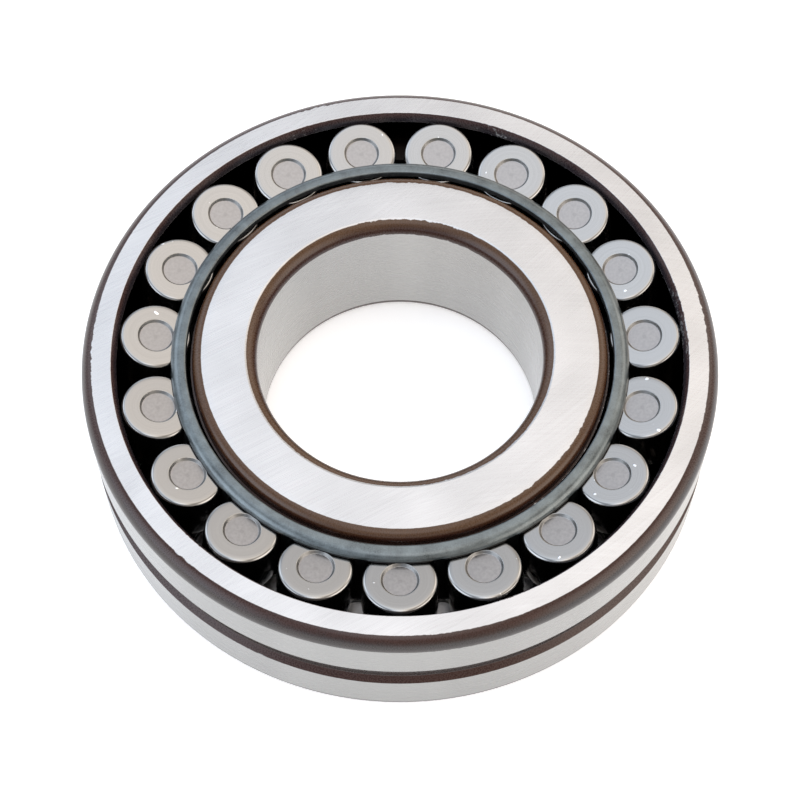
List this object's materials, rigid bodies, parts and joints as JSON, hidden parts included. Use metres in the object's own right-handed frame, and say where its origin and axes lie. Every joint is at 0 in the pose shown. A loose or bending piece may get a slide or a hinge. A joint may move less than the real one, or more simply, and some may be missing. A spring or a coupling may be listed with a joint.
{
  "type": "spherical roller bearing",
  "caption": "Spherical roller bearing with a self-aligning outer raceway, pressed window cages, a loose guide ring and an oil groove with holes in the outer ring.",
  "frame": {"origin": "centre of the bearing: on the shaft axis, half-way between the ring faces", "axes": "+Z along the shaft axis; the part is symmetrical end for end, and the upper row lies towards +Z; one upper roller stands at -Y"},
  "size_m": [0.1, 0.1, 0.025],
  "materials": {
    "outer_ring_steel": "through-hardened bearing steel: ground faces and outside, brown scale left on the turned corners and groove",
    "inner_ring_steel": "through-hardened bearing steel: ground faces and bore, brown scale left on the turned corners and shoulders",
    "roller_steel": "ground and polished rollers with a dull recess in each end",
    "cage_steel": "pressed sheet steel, phosphated blue-grey",
    "guide_ring_iron": "turned sintered iron"
  },
  "bodies": {
    "outer_ring": {"outer_ring": "outer_ring_steel"},
    "inner_ring": {"inner_ring": "inner_ring_steel"},
    "guide_ring": {"guide_ring": "guide_ring_iron"},
    "cage_upper": {"cage_upper": "cage_steel"},
    "cage_lower": {"cage_lower": "cage_steel"},
    "roller_upper_01": {"roller_upper_01": "roller_steel"},
    "roller_upper_02": {"roller_upper_02": "roller_steel"},
    "roller_upper_03": {"roller_upper_03": "roller_steel"},
    "roller_upper_04": {"roller_upper_04": "roller_steel"},
    "roller_upper_05": {"roller_upper_05": "roller_steel"},
    "roller_upper_06": {"roller_upper_06": "roller_steel"},
    "roller_upper_07": {"roller_upper_07": "roller_steel"},
    "roller_upper_08": {"roller_upper_08": "roller_steel"},
    "roller_upper_09": {"roller_upper_09": "roller_steel"},
    "roller_upper_10": {"roller_upper_10": "roller_steel"},
    "roller_upper_11": {"roller_upper_11": "roller_steel"},
    "roller_upper_12": {"roller_upper_12": "roller_steel"},
    "roller_upper_13": {"roller_upper_13": "roller_steel"},
    "roller_upper_14": {"roller_upper_14": "roller_steel"},
    "roller_upper_15": {"roller_upper_15": "roller_steel"},
    "roller_upper_16": {"roller_upper_16": "roller_steel"},
    "roller_upper_17": {"roller_upper_17": "roller_steel"},
    "roller_upper_18": {"roller_upper_18": "roller_steel"},
    "roller_upper_19": {"roller_upper_19": "roller_steel"},
    "roller_lower_01": {"roller_lower_01": "roller_steel"},
    "roller_lower_02": {"roller_lower_02": "roller_steel"},
    "roller_lower_03": {"roller_lower_03": "roller_steel"},
    "roller_lower_04": {"roller_lower_04": "roller_steel"},
    "roller_lower_05": {"roller_lower_05": "roller_steel"},
    "roller_lower_06": {"roller_lower_06": "roller_steel"},
    "roller_lower_07": {"roller_lower_07": "roller_steel"},
    "roller_lower_08": {"roller_lower_08": "roller_steel"},
    "roller_lower_09": {"roller_lower_09": "roller_steel"},
    "roller_lower_10": {"roller_lower_10": "roller_steel"},
    "roller_lower_11": {"roller_lower_11": "roller_steel"},
    "roller_lower_12": {"roller_lower_12": "roller_steel"},
    "roller_lower_13": {"roller_lower_13": "roller_steel"},
    "roller_lower_14": {"roller_lower_14": "roller_steel"},
    "roller_lower_15": {"roller_lower_15": "roller_steel"},
    "roller_lower_16": {"roller_lower_16": "roller_steel"},
    "roller_lower_17": {"roller_lower_17": "roller_steel"},
    "roller_lower_18": {"roller_lower_18": "roller_steel"},
    "roller_lower_19": {"roller_lower_19": "roller_steel"}
  },
  "joints": [
    {"name": "misalignment", "type": "hinge", "parent": "outer_ring", "child": "guide_ring", "pos_m": [0, 0, 0], "axis": [1, 0, 0], "range_deg": [-2, 2]},
    {"name": "inner_ring_spin", "type": "hinge", "parent": "guide_ring", "child": "inner_ring", "pos_m": [0, 0, 0], "axis": [0, 0, 1], "continuous": true},
    {"name": "cage_upper_spin", "type": "hinge", "parent": "guide_ring", "child": "cage_upper", "pos_m": [0, 0, 0], "axis": [0, 0, 1], "continuous": true},
    {"name": "cage_lower_spin", "type": "hinge", "parent": "guide_ring", "child": "cage_lower", "pos_m": [0, 0, 0], "axis": [0, 0, 1], "continuous": true},
    {"name": "roller_upper_01_spin", "type": "hinge", "parent": "cage_upper", "child": "roller_upper_01", "pos_m": [0, -0.03938, 0.00633], "axis": [0, 0.1587, 0.9873], "continuous": true},
    {"name": "roller_upper_02_spin", "type": "hinge", "parent": "cage_upper", "child": "roller_upper_02", "pos_m": [0.01279, -0.03725, 0.00633], "axis": [-0.0515, 0.1501, 0.9873], "continuous": true},
    {"name": "roller_upper_03_spin", "type": "hinge", "parent": "cage_upper", "child": "roller_upper_03", "pos_m": [0.02419, -0.03108, 0.00633], "axis": [-0.0975, 0.1252, 0.9873], "continuous": true},
    {"name": "roller_upper_04_spin", "type": "hinge", "parent": "cage_upper", "child": "roller_upper_04", "pos_m": [0.03297, -0.02154, 0.00633], "axis": [-0.1329, 0.0868, 0.9873], "continuous": true},
    {"name": "roller_upper_05_spin", "type": "hinge", "parent": "cage_upper", "child": "roller_upper_05", "pos_m": [0.03818, -0.00967, 0.00633], "axis": [-0.1538, 0.039, 0.9873], "continuous": true},
    {"name": "roller_upper_06_spin", "type": "hinge", "parent": "cage_upper", "child": "roller_upper_06", "pos_m": [0.03925, 0.00325, 0.00633], "axis": [-0.1582, -0.0131, 0.9873], "continuous": true},
    {"name": "roller_upper_07_spin", "type": "hinge", "parent": "cage_upper", "child": "roller_upper_07", "pos_m": [0.03607, 0.01582, 0.00633], "axis": [-0.1453, -0.0637, 0.9873], "continuous": true},
    {"name": "roller_upper_08_spin", "type": "hinge", "parent": "cage_upper", "child": "roller_upper_08", "pos_m": [0.02897, 0.02667, 0.00633], "axis": [-0.1168, -0.1075, 0.9873], "continuous": true},
    {"name": "roller_upper_09_spin", "type": "hinge", "parent": "cage_upper", "child": "roller_upper_09", "pos_m": [0.01874, 0.03464, 0.00633], "axis": [-0.0755, -0.1396, 0.9873], "continuous": true},
    {"name": "roller_upper_10_spin", "type": "hinge", "parent": "cage_upper", "child": "roller_upper_10", "pos_m": [0.00648, 0.03885, 0.00633], "axis": [-0.0261, -0.1565, 0.9873], "continuous": true},
    {"name": "roller_upper_11_spin", "type": "hinge", "parent": "cage_upper", "child": "roller_upper_11", "pos_m": [-0.00648, 0.03885, 0.00633], "axis": [0.0261, -0.1565, 0.9873], "continuous": true},
    {"name": "roller_upper_12_spin", "type": "hinge", "parent": "cage_upper", "child": "roller_upper_12", "pos_m": [-0.01874, 0.03464, 0.00633], "axis": [0.0755, -0.1396, 0.9873], "continuous": true},
    {"name": "roller_upper_13_spin", "type": "hinge", "parent": "cage_upper", "child": "roller_upper_13", "pos_m": [-0.02897, 0.02667, 0.00633], "axis": [0.1168, -0.1075, 0.9873], "continuous": true},
    {"name": "roller_upper_14_spin", "type": "hinge", "parent": "cage_upper", "child": "roller_upper_14", "pos_m": [-0.03607, 0.01582, 0.00633], "axis": [0.1453, -0.0637, 0.9873], "continuous": true},
    {"name": "roller_upper_15_spin", "type": "hinge", "parent": "cage_upper", "child": "roller_upper_15", "pos_m": [-0.03925, 0.00325, 0.00633], "axis": [0.1582, -0.0131, 0.9873], "continuous": true},
    {"name": "roller_upper_16_spin", "type": "hinge", "parent": "cage_upper", "child": "roller_upper_16", "pos_m": [-0.03818, -0.00967, 0.00633], "axis": [0.1538, 0.039, 0.9873], "continuous": true},
    {"name": "roller_upper_17_spin", "type": "hinge", "parent": "cage_upper", "child": "roller_upper_17", "pos_m": [-0.03297, -0.02154, 0.00633], "axis": [0.1329, 0.0868, 0.9873], "continuous": true},
    {"name": "roller_upper_18_spin", "type": "hinge", "parent": "cage_upper", "child": "roller_upper_18", "pos_m": [-0.02419, -0.03108, 0.00633], "axis": [0.0975, 0.1252, 0.9873], "continuous": true},
    {"name": "roller_upper_19_spin", "type": "hinge", "parent": "cage_upper", "child": "roller_upper_19", "pos_m": [-0.01279, -0.03725, 0.00633], "axis": [0.0515, 0.1501, 0.9873], "continuous": true},
    {"name": "roller_lower_01_spin", "type": "hinge", "parent": "cage_lower", "child": "roller_lower_01", "pos_m": [0.00648, -0.03885, -0.00633], "axis": [0.0261, -0.1565, 0.9873], "continuous": true},
    {"name": "roller_lower_02_spin", "type": "hinge", "parent": "cage_lower", "child": "roller_lower_02", "pos_m": [0.01874, -0.03464, -0.00633], "axis": [0.0755, -0.1396, 0.9873], "continuous": true},
    {"name": "roller_lower_03_spin", "type": "hinge", "parent": "cage_lower", "child": "roller_lower_03", "pos_m": [0.02897, -0.02667, -0.00633], "axis": [0.1168, -0.1075, 0.9873], "continuous": true},
    {"name": "roller_lower_04_spin", "type": "hinge", "parent": "cage_lower", "child": "roller_lower_04", "pos_m": [0.03607, -0.01582, -0.00633], "axis": [0.1453, -0.0637, 0.9873], "continuous": true},
    {"name": "roller_lower_05_spin", "type": "hinge", "parent": "cage_lower", "child": "roller_lower_05", "pos_m": [0.03925, -0.00325, -0.00633], "axis": [0.1582, -0.0131, 0.9873], "continuous": true},
    {"name": "roller_lower_06_spin", "type": "hinge", "parent": "cage_lower", "child": "roller_lower_06", "pos_m": [0.03818, 0.00967, -0.00633], "axis": [0.1538, 0.039, 0.9873], "continuous": true},
    {"name": "roller_lower_07_spin", "type": "hinge", "parent": "cage_lower", "child": "roller_lower_07", "pos_m": [0.03297, 0.02154, -0.00633], "axis": [0.1329, 0.0868, 0.9873], "continuous": true},
    {"name": "roller_lower_08_spin", "type": "hinge", "parent": "cage_lower", "child": "roller_lower_08", "pos_m": [0.02419, 0.03108, -0.00633], "axis": [0.0975, 0.1252, 0.9873], "continuous": true},
    {"name": "roller_lower_09_spin", "type": "hinge", "parent": "cage_lower", "child": "roller_lower_09", "pos_m": [0.01279, 0.03725, -0.00633], "axis": [0.0515, 0.1501, 0.9873], "continuous": true},
    {"name": "roller_lower_10_spin", "type": "hinge", "parent": "cage_lower", "child": "roller_lower_10", "pos_m": [0, 0.03938, -0.00633], "axis": [0, 0.1587, 0.9873], "continuous": true},
    {"name": "roller_lower_11_spin", "type": "hinge", "parent": "cage_lower", "child": "roller_lower_11", "pos_m": [-0.01279, 0.03725, -0.00633], "axis": [-0.0515, 0.1501, 0.9873], "continuous": true},
    {"name": "roller_lower_12_spin", "type": "hinge", "parent": "cage_lower", "child": "roller_lower_12", "pos_m": [-0.02419, 0.03108, -0.00633], "axis": [-0.0975, 0.1252, 0.9873], "continuous": true},
    {"name": "roller_lower_13_spin", "type": "hinge", "parent": "cage_lower", "child": "roller_lower_13", "pos_m": [-0.03297, 0.02154, -0.00633], "axis": [-0.1329, 0.0868, 0.9873], "continuous": true},
    {"name": "roller_lower_14_spin", "type": "hinge", "parent": "cage_lower", "child": "roller_lower_14", "pos_m": [-0.03818, 0.00967, -0.00633], "axis": [-0.1538, 0.039, 0.9873], "continuous": true},
    {"name": "roller_lower_15_spin", "type": "hinge", "parent": "cage_lower", "child": "roller_lower_15", "pos_m": [-0.03925, -0.00325, -0.00633], "axis": [-0.1582, -0.0131, 0.9873], "continuous": true},
    {"name": "roller_lower_16_spin", "type": "hinge", "parent": "cage_lower", "child": "roller_lower_16", "pos_m": [-0.03607, -0.01582, -0.00633], "axis": [-0.1453, -0.0637, 0.9873], "continuous": true},
    {"name": "roller_lower_17_spin", "type": "hinge", "parent": "cage_lower", "child": "roller_lower_17", "pos_m": [-0.02897, -0.02667, -0.00633], "axis": [-0.1168, -0.1075, 0.9873], "continuous": true},
    {"name": "roller_lower_18_spin", "type": "hinge", "parent": "cage_lower", "child": "roller_lower_18", "pos_m": [-0.01874, -0.03464, -0.00633], "axis": [-0.0755, -0.1396, 0.9873], "continuous": true},
    {"name": "roller_lower_19_spin", "type": "hinge", "parent": "cage_lower", "child": "roller_lower_19", "pos_m": [-0.00648, -0.03885, -0.00633], "axis": [-0.0261, -0.1565, 0.9873], "continuous": true}
  ],
  "couplings": [
    {"joint": "cage_upper_spin", "follows": "inner_ring_spin", "ratio": 0.42664},
    {"joint": "cage_lower_spin", "follows": "inner_ring_spin", "ratio": 0.42664},
    {"joint": "roller_upper_01_spin", "follows": "inner_ring_spin", "ratio": -3.2924},
    {"joint": "roller_upper_02_spin", "follows": "inner_ring_spin", "ratio": -3.2924},
    {"joint": "roller_upper_03_spin", "follows": "inner_ring_spin", "ratio": -3.2924},
    {"joint": "roller_upper_04_spin", "follows": "inner_ring_spin", "ratio": -3.2924},
    {"joint": "roller_upper_05_spin", "follows": "inner_ring_spin", "ratio": -3.2924},
    {"joint": "roller_upper_06_spin", "follows": "inner_ring_spin", "ratio": -3.2924},
    {"joint": "roller_upper_07_spin", "follows": "inner_ring_spin", "ratio": -3.2924},
    {"joint": "roller_upper_08_spin", "follows": "inner_ring_spin", "ratio": -3.2924},
    {"joint": "roller_upper_09_spin", "follows": "inner_ring_spin", "ratio": -3.2924},
    {"joint": "roller_upper_10_spin", "follows": "inner_ring_spin", "ratio": -3.2924},
    {"joint": "roller_upper_11_spin", "follows": "inner_ring_spin", "ratio": -3.2924},
    {"joint": "roller_upper_12_spin", "follows": "inner_ring_spin", "ratio": -3.2924},
    {"joint": "roller_upper_13_spin", "follows": "inner_ring_spin", "ratio": -3.2924},
    {"joint": "roller_upper_14_spin", "follows": "inner_ring_spin", "ratio": -3.2924},
    {"joint": "roller_upper_15_spin", "follows": "inner_ring_spin", "ratio": -3.2924},
    {"joint": "roller_upper_16_spin", "follows": "inner_ring_spin", "ratio": -3.2924},
    {"joint": "roller_upper_17_spin", "follows": "inner_ring_spin", "ratio": -3.2924},
    {"joint": "roller_upper_18_spin", "follows": "inner_ring_spin", "ratio": -3.2924},
    {"joint": "roller_upper_19_spin", "follows": "inner_ring_spin", "ratio": -3.2924},
    {"joint": "roller_lower_01_spin", "follows": "inner_ring_spin", "ratio": -3.2924},
    {"joint": "roller_lower_02_spin", "follows": "inner_ring_spin", "ratio": -3.2924},
    {"joint": "roller_lower_03_spin", "follows": "inner_ring_spin", "ratio": -3.2924},
    {"joint": "roller_lower_04_spin", "follows": "inner_ring_spin", "ratio": -3.2924},
    {"joint": "roller_lower_05_spin", "follows": "inner_ring_spin", "ratio": -3.2924},
    {"joint": "roller_lower_06_spin", "follows": "inner_ring_spin", "ratio": -3.2924},
    {"joint": "roller_lower_07_spin", "follows": "inner_ring_spin", "ratio": -3.2924},
    {"joint": "roller_lower_08_spin", "follows": "inner_ring_spin", "ratio": -3.2924},
    {"joint": "roller_lower_09_spin", "follows": "inner_ring_spin", "ratio": -3.2924},
    {"joint": "roller_lower_10_spin", "follows": "inner_ring_spin", "ratio": -3.2924},
    {"joint": "roller_lower_11_spin", "follows": "inner_ring_spin", "ratio": -3.2924},
    {"joint": "roller_lower_12_spin", "follows": "inner_ring_spin", "ratio": -3.2924},
    {"joint": "roller_lower_13_spin", "follows": "inner_ring_spin", "ratio": -3.2924},
    {"joint": "roller_lower_14_spin", "follows": "inner_ring_spin", "ratio": -3.2924},
    {"joint": "roller_lower_15_spin", "follows": "inner_ring_spin", "ratio": -3.2924},
    {"joint": "roller_lower_16_spin", "follows": "inner_ring_spin", "ratio": -3.2924},
    {"joint": "roller_lower_17_spin", "follows": "inner_ring_spin", "ratio": -3.2924},
    {"joint": "roller_lower_18_spin", "follows": "inner_ring_spin", "ratio": -3.2924},
    {"joint": "roller_lower_19_spin", "follows": "inner_ring_spin", "ratio": -3.2924}
  ]
}
